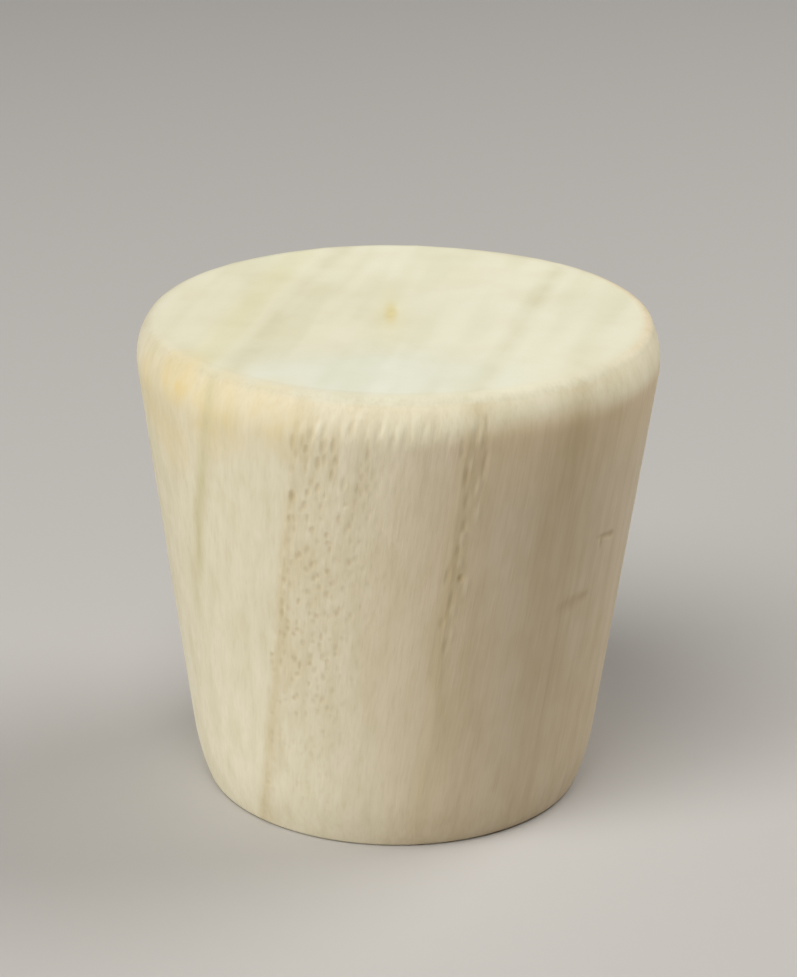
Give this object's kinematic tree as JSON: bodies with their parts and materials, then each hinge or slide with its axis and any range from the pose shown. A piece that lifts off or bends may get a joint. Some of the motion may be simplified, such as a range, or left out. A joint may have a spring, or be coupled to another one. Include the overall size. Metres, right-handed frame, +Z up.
{
  "type": "wooden stopper",
  "caption": "Tapered wooden stopper turned from one piece: flat base and top, rounded shoulder, tucked-in foot. Pushed by hand into a flask, jar or bottle neck to close it.",
  "frame": {"origin": "middle of the flat base", "axes": "+Z up along the turning axis, towards the wide end; the grain runs along Z"},
  "size_m": [0.0403, 0.0404, 0.038],
  "materials": {
    "pale_wood": "bare, fine-turned"
  },
  "bodies": {
    "root": {"stopper": "pale_wood"}
  },
  "joints": []
}
